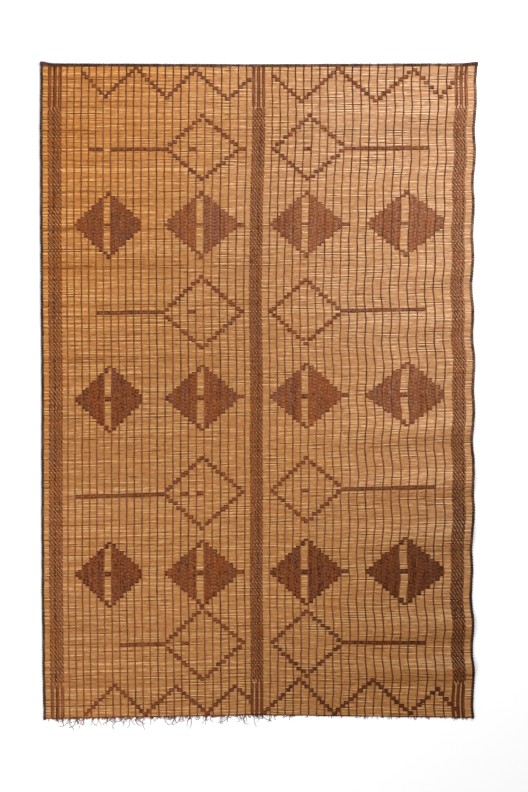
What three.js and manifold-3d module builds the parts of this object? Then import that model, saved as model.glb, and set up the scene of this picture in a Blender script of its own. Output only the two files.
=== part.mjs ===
// Tuareg mat of reeds bound with leather thongs, lying flat on the floor. Millimetres, +Z up.
// X runs across the mat along the reeds, Y along it, from the frayed foot up to the bound head.
import * as THREE from "three";
import { mergeVertices } from "three/addons/utils/BufferGeometryUtils.js";
import Module from "manifold-3d";

const wasm = await Module();
wasm.setup();

// Driving dimensions of the whole mat
const LEFT_X = -905;
const RIGHT_X = 895;
const HEAD_Y = 1370;
const LENGTH = 2724;
const GAP = 0.3;

// Heights above the floor
const REED_TOP = 5.8;
const REED_VALLEY = 4.9;
const LEATHER = 1;
const THONG_BASE = REED_TOP + GAP;
const THONG_TOP = THONG_BASE + LEATHER;
const FLOAT_BASE = THONG_TOP + GAP;

// Edge bindings: leather wrapped round the reed ends, and a cord along the head with a knot at each corner
const BINDING_WIDTH = 12;
const BINDING_HEIGHT = 8;
const BINDING_PINCH = 1.4;
const BINDING_STEP = 4;
const BINDING_CLEAR = 0.4;
const BINDING_PAST_FOOT = 4;
const HEAD_WIDTH = 8;
const KNOT_LENGTH = 34;
const KNOT_RISE = 9;

// Woven bands, each split into three prongs at both ends
const PRONG_WIDTH = 12;
const FORK_AT_HEAD = 11.7;
const FORK_AT_FOOT = 174.7;
const BANDS = [
  { name: "band_left", middle: -844, width: 57 },
  { name: "band_middle", middle: -4, width: 54 },
  { name: "band_right", middle: 831, width: 54 },
];

// Panels between the bands: where the first thong line lies, and how the spacing of the lines grows. Depths
// along the thongs are in courses
const THONG_WIDTH = 5;
const TURN_DEPTH = 0.3;
const END_MARGIN = 0.1;
const PANELS = {
  left: { lines: 24, first: -794, spacing: 29.7, growth: 0.23 },
  right: { lines: 22, first: 52, spacing: 32.2, growth: 0.21 },
};

// Courses of three reeds each, counted down from the head, with the distance down at some of them
const COURSES = 184;
const COURSE_MARKS = [
  { course: 0, down: HEAD_WIDTH + GAP },
  { course: 23, down: 352 },
  { course: 45, down: 668 },
  { course: 70, down: 1033 },
  { course: 94, down: 1387 },
  { course: 121, down: 1778 },
  { course: 144, down: 2118 },
  { course: 164, down: 2420 },
  { course: COURSES, down: 2719 },
];

// The weaver's unevenness at distances down from the head: how far each edge strays in X, and the inside of
// the right half, how much higher the right end of a reed lies than its left end, and how far its middle
// bows towards the head
const WANDER = [
  { down: 0, left: -3, right: 15, inside: -3, rise: 1, bow: -4 },
  { down: 240, left: -5, right: 7, inside: 4, rise: 6, bow: -2 },
  { down: 660, left: -4, right: 0, inside: -5, rise: 9, bow: 0 },
  { down: 960, left: -2, right: -4, inside: -9, rise: 18, bow: 0 },
  { down: 1330, left: 1, right: 4, inside: -10, rise: 25, bow: 0 },
  { down: 1600, left: 1, right: -1, inside: -8, rise: 42, bow: 0 },
  { down: 1790, left: 1, right: 3, inside: -9, rise: 50, bow: 0 },
  { down: 2140, left: 2, right: -6, inside: -6, rise: 16, bow: 2 },
  { down: 2420, left: 5, right: -1, inside: -7, rise: 16, bow: 12 },
  { down: LENGTH, left: 9, right: 1, inside: -11, rise: 5, bow: 14 },
];

// Filled diamonds: the thong line to the left of the middle cell, in each panel, and the middle courses
const DIAMOND_REACH = 9;
const SLOT_REACH = 7.5;
const SLOT_INSET = 0.12;
const BRIDGE_HALF = 0.35;
const DIAMOND_COLUMNS = [
  { panel: "left", line: 5 },
  { panel: "left", line: 17 },
  { panel: "right", line: 4 },
  { panel: "right", line: 16 },
];
const DIAMOND_COURSES = [45, 94, 144];

// Outlined diamonds on a stem, in the columns next to the middle band, and the line where the stem ends
const ARROW_OUTER = 0.45;
const ARROW_INNER = -0.8;
const STEM_HALF = 0.42;
const ARROWS = [
  { panel: "left", line: 17, course: 23, reach: 9, stemEnd: 6 },
  { panel: "left", line: 17, course: 70, reach: 10, stemEnd: 4 },
  { panel: "left", line: 17, course: 121, reach: 10, stemEnd: 1 },
  { panel: "left", line: 17, course: 164, reach: 10, stemEnd: 7 },
  { panel: "right", line: 4, course: 23, reach: 9, stemEnd: 19 },
  { panel: "right", line: 4, course: 70, reach: 9, stemEnd: 19 },
  { panel: "right", line: 4, course: 121, reach: 9, stemEnd: 20 },
  { panel: "right", line: 4, course: 164, reach: 9, stemEnd: 19 },
];

// Zigzags along the head and the foot: thong line and course of each turn
const ZIGZAG_HALF = 0.75;
const ZIGZAGS = [
  { name: "zigzag_head_left", panel: "left",
    turns: [[2, 1.6], [5.25, 8.6], [9.25, 0.9], [13.25, 8.8], [16.75, 1.1], [20.75, 9.2], [23.5, 3.2]] },
  { name: "zigzag_head_right", panel: "right",
    turns: [[0, 2.4], [3.75, 9.8], [8.25, 0.9], [12.75, 10], [17.25, 1], [20.25, 8.8], [23, 1.8]] },
  { name: "zigzag_foot_left", panel: "left",
    turns: [[2, 183.1], [6.25, 175.2], [10.25, 183.1], [14.25, 176],
      [18.25, 183.1], [21.75, 176.1], [24, 180.9]] },
  { name: "zigzag_foot_right", panel: "right",
    turns: [[-1, 183.1], [3.75, 174.3], [8.25, 183.1], [12.75, 174.3],
      [17.25, 183.1], [20.25, 176.5], [22.5, 182.2]] },
];

// Frayed thong ends along the foot
const FOOT_STRIP_HEIGHT = 4;
const STRAND_WIDTH = 2.2;
const STRAND_HEIGHT = 1.5;
const STRAND_ROOT = 2;
const STRAND_FAN = 2;
const STRAND_STRAY = 3.6;
const STRAND_BEND = 2;
const FRAY_LEFT = 36;
const FRAY_RIGHT = 17;

const smooth = (t) => t * t * (3 - 2 * t);

// Values of a table at a place between two of its rows
function tableAt(table, key, place, ease) {
  const last = table.length - 2;
  const above = table.findIndex((row, i) => i === last || place < table[i + 1][key]);
  const [a, b] = [table[above], table[above + 1]];
  const share = ease((place - a[key]) / (b[key] - a[key]));
  return Object.fromEntries(Object.keys(a).map((name) => [name, a[name] + (b[name] - a[name]) * share]));
}

const clampDown = (down) => Math.min(Math.max(down, 0), LENGTH);
const wanderAt = (down) => tableAt(WANDER, "down", clampDown(down), smooth);
const courseDown = (course) => tableAt(COURSE_MARKS, "course", course, (t) => t).down;

// Place on the mat as it lies, for a place on an even mat: x across it, and the distance down from the head
function lie(x, down) {
  const across = (x - LEFT_X) / (RIGHT_X - LEFT_X);
  const wander = wanderAt(down);
  const loose = Math.min(Math.max((across - 0.3) / 0.7, 0), 1);
  const inside = wander.inside * Math.sin(Math.PI * loose);
  const strayed = x + wander.left + (wander.right - wander.left) * across + inside;
  const tent = 1 - Math.abs(2 * across - 1);
  const lifted = wander.rise * (across - 0.5) + wander.bow * tent;
  return new THREE.Vector2(strayed, HEAD_Y - down + lifted);
}

// X of a thong line in a panel, whole or in between
function lineX(panel, line) {
  const { first, spacing, growth } = PANELS[panel];
  return first + line * spacing + (growth * line * (line - 1)) / 2;
}

const onChart = (panel, line, course) => lie(lineX(panel, line), courseDown(course));

// Closed body through rings of points, its ends closed from side to side. Rings run anticlockwise seen
// from their far end
function loft(rings) {
  const sides = rings[0].length;
  const index = [];
  for (let r = 0; r + 1 < rings.length; r++) {
    for (let s = 0; s < sides; s++) {
      const [a, b] = [r * sides + s, r * sides + ((s + 1) % sides)];
      index.push(a, b, b + sides, a, b + sides, a + sides);
    }
  }
  const end = (rings.length - 1) * sides;
  const cap = (a, b, c) => index.push(a, c, b, end + a, end + b, end + c);
  let [up, low] = [0, sides - 1];
  while (up + 1 < low) {
    cap(up, up + 1, low);
    up++;
    if (up + 1 < low) {
      cap(up, low - 1, low);
      low--;
    }
  }
  const geometry = new THREE.BufferGeometry().setFromPoints(rings.flat());
  geometry.setIndex(index);
  return geometry;
}

// Points of a closed outline, turned round where they run the other way
function wound(points, clockwise) {
  return THREE.ShapeUtils.isClockWise(points) === clockwise ? points : points.toReversed();
}

// Flat leather of an outline, with holes, standing on a base height
function leather(outline, holes, base) {
  const shape = new THREE.Shape(wound(outline, false));
  shape.holes = holes.map((hole) => new THREE.Path(wound(hole, true)));
  const geometry = new THREE.ExtrudeGeometry(shape, { depth: LEATHER, bevelEnabled: false });
  return geometry.translate(0, 0, base);
}

// Reed field: one rib for each course, as wide as the mat between its bindings
function reedField() {
  const left = LEFT_X + BINDING_WIDTH + BINDING_CLEAR;
  const right = RIGHT_X - BINDING_WIDTH - BINDING_CLEAR;
  const columns = [left, (LEFT_X + RIGHT_X) / 2, right];
  const rings = [];
  for (let step = 2 * COURSES; step >= 0; step--) {
    const top = step % 2 === 0 ? REED_VALLEY : REED_TOP;
    const row = columns.map((x) => lie(x, courseDown(step / 2)));
    const lower = row.map((p) => new THREE.Vector3(p.x, p.y, 0));
    const upper = row.map((p) => new THREE.Vector3(p.x, p.y, top));
    rings.push([...upper, ...lower.reverse()]);
  }
  return loft(rings);
}

// Flattened wrapping section as shares of its width and height, with a flat underside to lie on
const WRAP_SECTION = [
  [-0.5, 0.5], [-0.25, 1], [0.25, 1], [0.5, 0.5], [0.3, 0], [-0.3, 0],
];

// Binding of a side edge: side is -1 at the left and 1 at the right
function sideBinding(side) {
  const edge = side < 0 ? LEFT_X : RIGHT_X;
  const rings = [];
  for (let course = COURSES; course >= 0; course -= BINDING_STEP) {
    const pinched = (course / BINDING_STEP) % 2 === 0 ? 0 : BINDING_PINCH;
    const width = BINDING_WIDTH - pinched;
    const inner = edge - side * BINDING_WIDTH;
    const middle = lie(inner, course === COURSES ? LENGTH + BINDING_PAST_FOOT : courseDown(course));
    middle.x += (side * width) / 2;
    rings.push(WRAP_SECTION.map(([across, up]) =>
      new THREE.Vector3(middle.x + across * width, middle.y, up * BINDING_HEIGHT)));
  }
  return loft(rings);
}

// Cord along the head, thickened outwards into a knot at each corner
function headBinding() {
  const middle = (LEFT_X + RIGHT_X) / 2;
  const stations = [
    { x: LEFT_X, extra: KNOT_RISE * 0.4 },
    { x: LEFT_X + KNOT_LENGTH * 0.3, extra: KNOT_RISE },
    { x: LEFT_X + KNOT_LENGTH, extra: 0 },
    { x: middle, extra: 0 },
    { x: RIGHT_X - KNOT_LENGTH, extra: 0 },
    { x: RIGHT_X - KNOT_LENGTH * 0.3, extra: KNOT_RISE },
    { x: RIGHT_X, extra: KNOT_RISE * 0.4 },
  ];
  return loft(stations.map(({ x, extra }) => {
    const inner = lie(x, HEAD_WIDTH);
    const width = HEAD_WIDTH + extra;
    return WRAP_SECTION.map(([across, up]) =>
      new THREE.Vector3(inner.x, inner.y + width * (0.5 - across), up * BINDING_HEIGHT));
  }));
}

// Band of close-set thongs, its ends slit into three prongs
function band({ middle, width }) {
  const [left, right] = [middle - width / 2, middle + width / 2];
  const slits = [
    [left + PRONG_WIDTH, middle - PRONG_WIDTH / 2],
    [middle + PRONG_WIDTH / 2, right - PRONG_WIDTH],
  ];
  const [headEnd, footEnd] = [END_MARGIN, COURSES - END_MARGIN];
  const stations = COURSE_MARKS.slice(1, -1).map((mark) => mark.course);
  const at = (x, course) => lie(x, courseDown(course));
  const slit = ([a, b], end, depth) => [at(a, end), at(a, depth), at(b, depth), at(b, end)];
  const outline = [
    at(left, headEnd),
    ...stations.map((course) => at(left, course)),
    at(left, footEnd),
    ...slits.flatMap((pair) => slit(pair, footEnd, FORK_AT_FOOT)),
    at(right, footEnd),
    ...stations.toReversed().map((course) => at(right, course)),
    at(right, headEnd),
    ...slits.toReversed().flatMap(([a, b]) => slit([b, a], headEnd, FORK_AT_HEAD)),
  ];
  return leather(outline, [], THONG_BASE);
}

// One thong doubled over the head cord: its two legs are neighbouring lines down the mat
function doubledThong(panel, line) {
  const half = THONG_WIDTH / 2;
  const turn = END_MARGIN;
  const turnBelow = turn + TURN_DEPTH;
  const legCourses = [COURSES / 4, COURSES / 2, (3 * COURSES) / 4, COURSES - END_MARGIN];
  const side = (of, offset, courses) =>
    courses.map((course) => lie(lineX(panel, of) + offset, courseDown(course)));
  const upwards = legCourses.toReversed();
  const outline = [
    ...side(line, -half, [turn, ...legCourses]),
    ...side(line, half, [...upwards, turnBelow]),
    ...side(line + 1, -half, [turnBelow, ...legCourses]),
    ...side(line + 1, half, [...upwards, turn]),
  ];
  return leather(outline, [], THONG_BASE);
}

// Diamond of floats: stepped edges, half a cell to each course, with a bridged slot in the middle cell and
// its points half a cell to the right of it
function diamond({ panel, line }, course) {
  const middle = line + 0.5;
  const at = (blocks, row) => onChart(panel, middle + blocks / 2, course + row);
  const edge = (sign) => {
    const points = [];
    for (let row = -DIAMOND_REACH; row <= DIAMOND_REACH; row++) {
      const blocks = DIAMOND_REACH - Math.abs(row);
      const side = sign < 0 ? -blocks : Math.min(blocks + 1, DIAMOND_REACH);
      points.push(at(side, row - 0.5), at(side, row + 0.5));
    }
    return points;
  };
  const slot = (from, to) => {
    const [a, b] = [-1 + 2 * SLOT_INSET, 1 - 2 * SLOT_INSET];
    return [at(a, from), at(a, to), at(b, to), at(b, from)];
  };
  const holes = [slot(-SLOT_REACH, -BRIDGE_HALF), slot(BRIDGE_HALF, SLOT_REACH)];
  return leather([...edge(-1), ...edge(1).reverse()], holes, FLOAT_BASE);
}

// Outlined diamond on a stem that points away from the middle band
function arrow({ panel, line, course, reach, stemEnd }) {
  const centre = line + 0.75;
  const sign = panel === "left" ? -1 : 1;
  const at = (blocks, row) => onChart(panel, centre + (sign * blocks) / 2, course + row);
  const outer = reach + ARROW_OUTER;
  const inner = reach + ARROW_INNER;
  const stemBlocks = (stemEnd - centre) * 2 * sign;
  const outline = [
    at(0, -outer),
    at(-outer, 0),
    at(0, outer),
    at(outer - STEM_HALF, STEM_HALF),
    at(stemBlocks, STEM_HALF),
    at(stemBlocks, -STEM_HALF),
    at(outer - STEM_HALF, -STEM_HALF),
  ];
  const hole = [at(0, -inner), at(-inner, 0), at(0, inner), at(inner, 0)];
  return leather(outline, [hole], FLOAT_BASE);
}

// Zigzag of floats of even height
function zigzag({ panel, turns }) {
  const upper = turns.map(([line, course]) => onChart(panel, line, course - ZIGZAG_HALF));
  const lower = turns.map(([line, course]) => onChart(panel, line, course + ZIGZAG_HALF));
  return leather([...upper, ...lower.reverse()], [], FLOAT_BASE);
}

// Repeatable scatter between 0 and 1
function scatter(number, salt) {
  const wave = Math.sin(number * 12.9898 + salt * 78.233) * 43758.5453;
  return wave - Math.floor(wave);
}

function toSolid(geometry) {
  const merged = mergeVertices(geometry);
  const vertProperties = new Float32Array(merged.attributes.position.array);
  const triVerts = new Uint32Array(merged.index.array);
  return new wasm.Manifold(new wasm.Mesh({ numProp: 3, vertProperties, triVerts }));
}

function toGeometry(solid) {
  const mesh = solid.getMesh();
  const geometry = new THREE.BufferGeometry();
  geometry.setAttribute("position", new THREE.BufferAttribute(new Float32Array(mesh.vertProperties), 3));
  geometry.setIndex(new THREE.BufferAttribute(new Uint32Array(mesh.triVerts), 1));
  return geometry;
}

// One frayed end: a three-sided strand lying on the floor, bent once, thin at its tip
function strand(rootX, length, drift, bend) {
  const root = lie(rootX, LENGTH - STRAND_ROOT);
  const stations = [
    { x: 0, y: 0, size: 1 },
    { x: drift * 0.35 + bend, y: -(STRAND_ROOT + length * 0.55), size: 0.8 },
    { x: drift, y: -(STRAND_ROOT + length), size: 0.35 },
  ];
  const half = STRAND_WIDTH / 2;
  return loft(stations.map(({ x, y, size }) => [
    new THREE.Vector3(root.x + x + half * size, root.y + y, 0),
    new THREE.Vector3(root.x + x, root.y + y, STRAND_HEIGHT * size),
    new THREE.Vector3(root.x + x - half * size, root.y + y, 0),
  ]));
}

// Where the thongs end at the foot: each line of the panels, and the close-set thongs of the bands
function thongEnds() {
  const ends = [];
  for (const [panel, { lines }] of Object.entries(PANELS)) {
    for (let line = 0; line < lines; line++) {
      const strands = panel === "left" ? 2 : 1 + (line % 2);
      ends.push({ x: lineX(panel, line), strands, pitch: 5 });
    }
  }
  BANDS.forEach(({ middle }) => ends.push({ x: middle, strands: 5, pitch: 10 }));
  return ends;
}

// Frayed ends fused at their roots into the narrow strip that lies along the last reed
function fringe() {
  const left = LEFT_X + BINDING_WIDTH + BINDING_CLEAR;
  const right = RIGHT_X - BINDING_WIDTH - BINDING_CLEAR;
  const inner = courseDown(COURSES) + GAP;
  const strip = loft([left, (LEFT_X + RIGHT_X) / 2, right].map((x) => {
    const [a, b] = [lie(x, inner), lie(x, LENGTH)];
    return [
      new THREE.Vector3(b.x, b.y, 0),
      new THREE.Vector3(a.x, a.y, 0),
      new THREE.Vector3(a.x, a.y, FOOT_STRIP_HEIGHT),
      new THREE.Vector3(b.x, b.y, FOOT_STRIP_HEIGHT * 0.7),
    ];
  }));
  let solid = toSolid(strip);
  let number = 0;
  for (const { x, strands, pitch } of thongEnds()) {
    for (let i = 0; i < strands; i++) {
      number++;
      const across = (x - LEFT_X) / (RIGHT_X - LEFT_X);
      const fray = FRAY_LEFT + (FRAY_RIGHT - FRAY_LEFT) * across;
      const length = fray * (0.35 + 0.75 * scatter(number, 1));
      const fan = i - (strands - 1) / 2;
      const drift = fan * STRAND_FAN + (scatter(number, 2) - 0.5) * STRAND_STRAY;
      const bend = (scatter(number, 3) - 0.5) * STRAND_BEND;
      solid = solid.add(toSolid(strand(x + fan * pitch, length, drift, bend)));
    }
  }
  return toGeometry(solid);
}

const REED = { color: 0xb97f4e, roughness: 0.6, metalness: 0 };
const THONG = { color: 0x86502f, roughness: 0.7, metalness: 0 };
const WOVEN = { color: 0x8e5a36, roughness: 0.7, metalness: 0 };
const BINDING = { color: 0x4a3a36, roughness: 0.6, metalness: 0 };

const mat = new THREE.Group();

function place(name, geometry, finish) {
  const mesh = new THREE.Mesh(geometry, new THREE.MeshStandardMaterial(finish));
  mesh.name = name;
  mat.add(mesh);
}

place("reed_field", reedField(), REED);
place("binding_left", sideBinding(-1), BINDING);
place("binding_right", sideBinding(1), BINDING);
place("binding_head", headBinding(), BINDING);
BANDS.forEach((row) => place(row.name, band(row), WOVEN));
for (const [panel, { lines }] of Object.entries(PANELS)) {
  for (let line = 0; line < lines; line += 2) {
    place(`thong_${panel}_${line / 2 + 1}`, doubledThong(panel, line), THONG);
  }
}
DIAMOND_COLUMNS.forEach((column, c) => DIAMOND_COURSES.forEach((course, r) =>
  place(`diamond_column_${c + 1}_row_${r + 1}`, diamond(column, course), WOVEN)));
ARROWS.forEach((row, i) => place(`arrow_${row.panel}_${(i % 4) + 1}`, arrow(row), WOVEN));
ZIGZAGS.forEach((row) => place(row.name, zigzag(row), WOVEN));
place("fringe_foot", fringe(), THONG);

export default mat;
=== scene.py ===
import math

import bpy
import numpy as np
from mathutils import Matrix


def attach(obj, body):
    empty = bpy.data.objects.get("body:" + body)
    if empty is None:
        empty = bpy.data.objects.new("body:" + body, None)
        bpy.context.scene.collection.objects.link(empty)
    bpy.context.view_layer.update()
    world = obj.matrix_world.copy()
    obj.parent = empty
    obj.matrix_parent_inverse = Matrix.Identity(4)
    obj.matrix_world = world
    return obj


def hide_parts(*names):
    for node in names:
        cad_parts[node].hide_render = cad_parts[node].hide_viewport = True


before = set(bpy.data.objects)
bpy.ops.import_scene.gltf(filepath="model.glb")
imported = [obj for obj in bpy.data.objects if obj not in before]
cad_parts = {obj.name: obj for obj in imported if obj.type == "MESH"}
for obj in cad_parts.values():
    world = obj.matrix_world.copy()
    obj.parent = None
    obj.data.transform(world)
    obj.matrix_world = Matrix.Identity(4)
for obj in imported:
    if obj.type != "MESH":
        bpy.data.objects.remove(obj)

bl_info = {
    "name": "Reed and leather mat",
    "version": (1, 0, 0),
    "blender": (4, 5, 0),
    "location": "3D View > Sidebar > Reed mat",
    "description": "Lays the reeds, weaves in the leather thongs and sets the stage of the photograph",
    "category": "Object",
}

# Plan of the mat, the same driving values as the CAD
MM = 0.001
LEFT_EDGE = -905 * MM
RIGHT_EDGE = 895 * MM
WIDTH = RIGHT_EDGE - LEFT_EDGE
HEAD = 1370 * MM
LENGTH = 2724 * MM
COURSES = 184
REEDS_IN_COURSE = 3
REEDS = COURSES * REEDS_IN_COURSE
HALF_COURSE = REEDS_IN_COURSE / 2

# Courses at both ends and at the middles of the pattern, and how far down the mat they lie
MARK_COURSES = (0, 23, 45, 70, 94, 121, 144, 164, 184)
MARK_DOWNS = np.array((8.3, 352, 668, 1033, 1387, 1778, 2118, 2420, 2719)) * MM

# Down the mat: distance, stray of the left edge, right edge and right inside, rise to the right, bow
WANDER = MM * np.array((
    (0, -3, 15, -3, 1, -4),
    (240, -5, 7, 4, 6, -2),
    (660, -4, 0, -5, 9, 0),
    (960, -2, -4, -9, 18, 0),
    (1330, 1, 4, -10, 25, 0),
    (1600, 1, -1, -8, 42, 0),
    (1790, 1, 3, -9, 50, 0),
    (2140, 2, -6, -6, 16, 2),
    (2420, 5, -1, -7, 16, 12),
    (2724, 9, 1, -11, 5, 14),
))
INSIDE_FROM = 0.3

# Ripples of the slack right half: distance down, half length, height
RIPPLES = MM * np.array((
    (210, 70, 4),
    (875, 90, 6),
    (1075, 80, 6),
    (1532, 85, 9),
    (1761, 80, 9),
    (1981, 80, 9),
    (2347, 78, 9),
    (2521, 65, 9),
))
SLACK_FROM = 0.55
RIPPLE_SLANT = 100 * MM

# Sideways sway of the slack half, wider inside than at the edge once it has set in
EDGE_SWAY = 3 * MM
INNER_SWAY = 9 * MM
SWAY_STARTS = 500 * MM
SWAY_FULL = 1300 * MM
SWAY_RATE = 29
SWAY_LAG = 3
DRIFT_LENGTHS = (310 * MM, 130 * MM, 60 * MM)

# Reeds: points along each, height of the middle line, how many millimetres in the ends lie, girth
REED_POINTS = 29
REED_MIDDLE = 3.25 * MM
REED_INSET = (4, 8)
REED_GIRTH = (0.89, 1.02)

# Tones of the reeds: common tone, spread of whole reeds and of streaks, and the painted shading by the
# ripples' slope, paler where they face the head and the key light and darker where they face away
REED_TONE = 0.5
WHOLE_REED_SPREAD = 0.17
STREAK_SPREAD = 0.3
PAINTED_RIPPLE_SHADE = 1.2

# Dark reeds along the left edge, by number, and how far across they are dark
STAINED_REEDS = {53: -680 * MM, 155: -520 * MM, 157: -700 * MM}
STAIN_TONE = 0.8
STAIN_FADES = 60 * MM

# Thong lines of each panel: count, first line, spacing, growth of the spacing
PANELS = {
    "left": (24, -794 * MM, 29.7 * MM, 0.23 * MM),
    "right": (22, 52 * MM, 32.2 * MM, 0.21 * MM),
}
LINE_DRIFTS = {"left": 0.7 * MM, "right": 1.1 * MM}
LEFT_LINE_TONE = 0.44
RIGHT_LINE_TONES = (0.2, 0.63)
# Painted shade on the lines next to the head cord: how much darker, and how far down it fades out
PAINTED_CORD_SHADE = 0.5
HEAD_SHADE_LENGTH = 50 * MM
OVER_CORD_DOWNS = np.array((-1, 4)) * MM
OVER_CORD_HEIGHTS = np.array((5, 8.8)) * MM
THONGS_IN_CELL = 6

# Bands: name, middle, width, tone, share of a reed left open beside each fleck
BANDS = (
    ("band_left", -844 * MM, 57 * MM, 0.34, 0.28),
    ("band_middle", -4 * MM, 54 * MM, 0.3, 0.1),
    ("band_right", 831 * MM, 54 * MM, 0.3, 0.1),
)
BAND_THONGS = 16
BAND_REPEAT = 4
MISSED_FLECKS = 0.1
PRONG_THONGS = (0, 1, 2, 3, 6, 7, 8, 9, 12, 13, 14, 15)
FORK_HEAD = 35
FORK_FOOT = 524

# Diamonds, in thong lines across and courses down, with the dashes beside two of the columns
DIAMOND_COLUMNS = (("left", 5), ("left", 17), ("right", 4), ("right", 16))
DIAMOND_COURSES = (45, 94, 144)
DIAMOND_REACH = 9
DIAMOND_NUBS = (None, (22, 23), (9, 10), None)
DIAMOND_ROW_TONES = (0.61, 0.5, 0.34)
DIAMOND_COLUMN_TONES = (-0.1, 0.06, 0, 0.04)

# Arrows: panel, middle line, middle course, reach, line where the stem ends
ARROWS = (
    ("left", 17, 23, 9, 6),
    ("left", 17, 70, 10, 4),
    ("left", 17, 121, 10, 1),
    ("left", 17, 164, 10, 7),
    ("right", 4, 23, 9, 19),
    ("right", 4, 70, 9, 19),
    ("right", 4, 121, 9, 20),
    ("right", 4, 164, 9, 19),
)
ARROWS_IN_PANEL = 4

# Dashes in and beside the arrows: panel, course, lines where they start and end
ARROW_DASHES = (
    ("left", 23, 16, 17),
    ("left", 70, 16, 17),
    ("left", 121, 15, 16),
    ("left", 121, 17, 18),
    ("left", 164, 15, 16),
    ("right", 23, 4, 5),
    ("right", 121, 4, 5),
    ("left", 23, 3, 5),
    ("left", 23, 22, 23),
)

# Zigzags: panel, and line and course of each turn
ZIGZAGS = (
    ("left", ((2.25, 2.1), (5.25, 8.6), (9.25, 0.6), (13.25, 8.8), (16.75, 1.1), (20.75, 9.2), (23.25, 3.7))),
    ("right", ((0.25, 2.9), (3.75, 9.8), (8.25, 0.9), (12.75, 10), (17.25, 1), (20.25, 8.8), (22.75, 2.3))),
    ("left", ((2.25, 183.2), (6.25, 175.2), (10.25, 183.4), (14.25, 176), (18.25, 183.4), (21.75, 176.1),
              (23.75, 180.4))),
    ("right", ((-0.75, 183.4), (3.75, 174.3), (8.25, 183.4), (12.75, 174.3), (17.25, 183.1), (20.25, 176.5),
               (22.25, 181.7))),
)

# Heights of a thong's middle over the floor
CREST = 6.2 * MM
SHOULDER = 5.9 * MM
EDGE = 5.3 * MM
DIP = 5 * MM
TUCK = 3 * MM
TURN = 1.6 * MM
BENEATH = 0.6 * MM

# Sides of the swept sections. Four sides come out narrower than their circle, so thongs are spread
REED_SIDES = 6
FLAT_SIDES = 4
CORE_SIDES = 10
FLAT_SPREAD = 1.4
FLOAT_SPREAD = 1.45

# Pitch at which a thong has its full width
FLOAT_PITCH = 5.2 * MM
BAND_PITCH = 5.1 * MM

# Floats: how far an end tucks in, in reeds, its tone and the painted shade of its tucked ends, and the lift
# and girth of beads and dashes
TUCK_REACH = 0.3
FLOAT_TONE = 0.5
END_SHADE = 0.35
BEAD_LIFT = 0.2 * MM
BEAD_GIRTH = 0.92
DASH_LIFT = -0.2 * MM

# Sections of strands: width, depth, sides
SIDE_WRAP_SECTION = (6 * MM, 1.4 * MM, FLAT_SIDES)
CORD_SECTION = (12.5 * MM, 7 * MM, CORE_SIDES)
CORD_WRAP_SECTION = (5 * MM, 1.4 * MM, FLAT_SIDES)
FRAY_SECTION = (3.4 * MM, 1.5 * MM, FLAT_SIDES)
FOOT_SECTION = (6 * MM, 3.4 * MM, 8)

# Bindings: middle lines, thong wound round them, and the head cord with its knots
SIDE_INSET = 6 * MM
SIDE_MIDDLE = 3.9 * MM
SIDE_WOUND = 4.3 * MM
SIDE_POINTS = 340
SIDE_TURNS = 240
CORD_DOWN = 5.2 * MM
CORD_MIDDLE = 3.7 * MM
CORD_WOUND = 4.8 * MM
CORD_POINTS = 220
CORD_TURNS = 130
POINTS_IN_TURN = 10
CORD_COIL = (5.2 * MM, 3.9 * MM)
KNOT_LENGTH = 60 * MM
KNOT_GIRTH = 0.35
KNOT_LIFT = 1.5 * MM
KNOT_RISES = (6 * MM, 3.5 * MM)

# Frayed ends: points along each, height at the root and drop from it, where across the foot they shorten
FRAY_POINTS = 11
FRAY_HEIGHT = 2.6 * MM
FRAY_DROP = 1.7 * MM
FRAYS_SHORTEN_FROM = 0.45
FRAYS_SHORTEN_WITHIN = 0.2

# How many frayed ends grow from each root, the stray ones between them, and the thong along the foot
FRAYS_IN_LINE = {"left": 10, "right": 5}
FRAYS_IN_BAND_ROOT = 5
BAND_ROOTS = (-2, -1, 0, 1, 2)
BAND_ROOT_PITCH = 9 * MM
STRAY_FRAYS = 420
STRAY_LENGTH = 14 * MM
FOOT_MIDDLE = 2.6 * MM
FOOT_POINTS = 160

# Shades at which each material has its dark, its common and its light colour
REED_SHADES = (0.95, 1.62, 2.2)
LEATHER_SHADES = (0.8, 1.35, 2.0)

# Tints that a colour is multiplied by, among them painted shade on the reeds, on the leather and where a
# thong is nipped, and the leather's colour where sun fade and painted sheen pale it
GOLDEN_TINT = (1.22, 1.1, 0.84, 1)
REED_PAINTED_SHADE_TINT = (0.83, 0.81, 0.79, 1)
LEATHER_PAINTED_SHADE_TINT = (0.45, 0.41, 0.38, 1)
PAINTED_NIP_SHADE_TINT = (0.45, 0.4, 0.38, 1)
COOL_DYE_TINT = (0.88, 0.95, 1.35, 1)
WARM_DYE_TINT = (1.12, 1.0, 0.85, 1)
FADED_AND_SHEEN_LEATHER = (0.37, 0.19, 0.115, 1)

# Kinds of sockets, and the sockets that the surface groups share
COLOUR = "NodeSocketColor"
NUMBER = "NodeSocketFloat"
VECTOR = "NodeSocketVector"
STRAND_VALUES = ("Tone", "Seed", "Place")
SURFACE_OUTPUTS = (("Color", COLOUR), ("Roughness", NUMBER), ("Normal", VECTOR))

# Places of the colour sockets on a Mix node
MIX_SHARE = 0
MIX_FIRST = 6
MIX_SECOND = 7
MIX_RESULT = 2

# Stage: half the floor's side, lights with place, size and power, sky, camera
FLOOR_HALF = 8
LIGHTS = (
    ("Key light", (2.2, 2.9, 2.9), 2.0, 180),
    ("Fill light", (-2.6, -1.8, 3.4), 3.0, 110),
)
SKY_STRENGTH = 0.5
CAMERA_PLACE = (0.022, -0.0126, 4.578)
CAMERA_LENS = 50


# Lie of the mat
def smooth(t):
    """Eased step from 0 to 1."""
    t = np.clip(t, 0, 1)
    return t * t * (3 - 2 * t)


def across_at(x):
    """Share of the width at a place across the plan."""
    return (x - LEFT_EDGE) / WIDTH


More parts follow.
